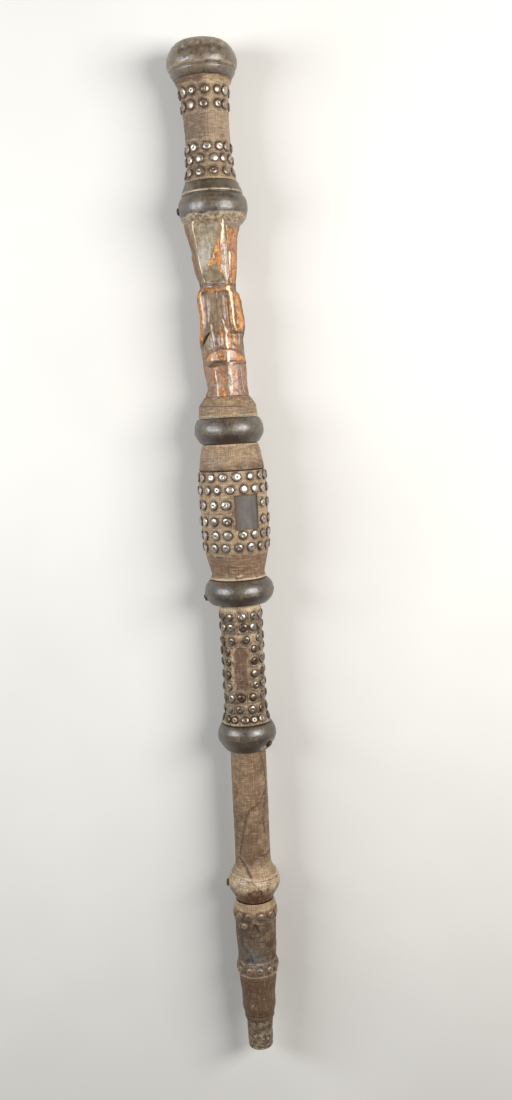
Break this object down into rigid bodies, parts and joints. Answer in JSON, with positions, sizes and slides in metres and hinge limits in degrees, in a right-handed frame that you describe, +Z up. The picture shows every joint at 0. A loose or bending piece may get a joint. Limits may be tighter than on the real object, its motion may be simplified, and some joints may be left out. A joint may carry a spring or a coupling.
{
  "type": "scepter",
  "caption": "Carved wooden staff of office with a domed pommel, turned rings, a worn figure and hide covers pinned by rows of domed tacks.",
  "frame": {"origin": "middle of the staff's length and width, on the surface that it lies on", "axes": "+Y along the staff towards the pommel, +Z up through its front, +X to the right of the front with the pommel at the top"},
  "size_m": [0.0718, 0.978, 0.0665],
  "materials": {
    "wood": "dark, worn and polished by handling",
    "hide": "thin dried hide, fine grain, matt to satin",
    "tacks": "tarnished domed heads, worn bright on top"
  },
  "bodies": {
    "root": {"staff": "wood", "grip_cover": "hide", "collar_cover": "hide", "neck_cover": "hide", "belly_cover": "hide", "upper_shaft_cover": "hide", "shaft_cover": "hide", "foot_cover": "hide", "toe_cover": "hide"}
  },
  "joints": []
}
